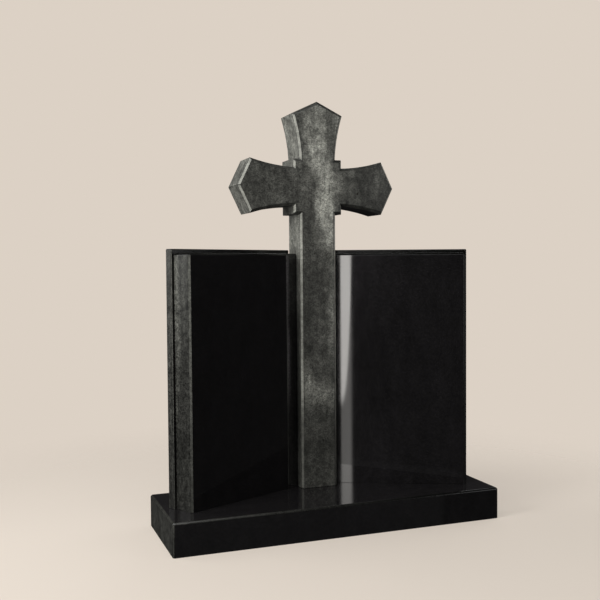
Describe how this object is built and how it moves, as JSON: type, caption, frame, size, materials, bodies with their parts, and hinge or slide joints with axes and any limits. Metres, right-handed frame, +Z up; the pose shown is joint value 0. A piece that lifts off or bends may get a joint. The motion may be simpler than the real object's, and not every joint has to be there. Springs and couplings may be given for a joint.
{
  "type": "book headstone",
  "caption": "Open-book headstone of polished granite leaves set in a shallow V on a plinth, with a flared cross standing between them; free-standing grave memorial.",
  "frame": {"origin": "middle of the plinth's underside", "axes": "+Z up, +X to the right of a person facing the pages, front towards -Y"},
  "size_m": [0.914, 0.3, 1.161],
  "materials": {
    "black_granite": "mirror polished",
    "grey_granite": "satin, mottled"
  },
  "bodies": {
    "root": {"plinth": "black_granite", "left_book_leaf": "black_granite", "right_book_leaf": "black_granite", "cross": "grey_granite"}
  },
  "joints": []
}
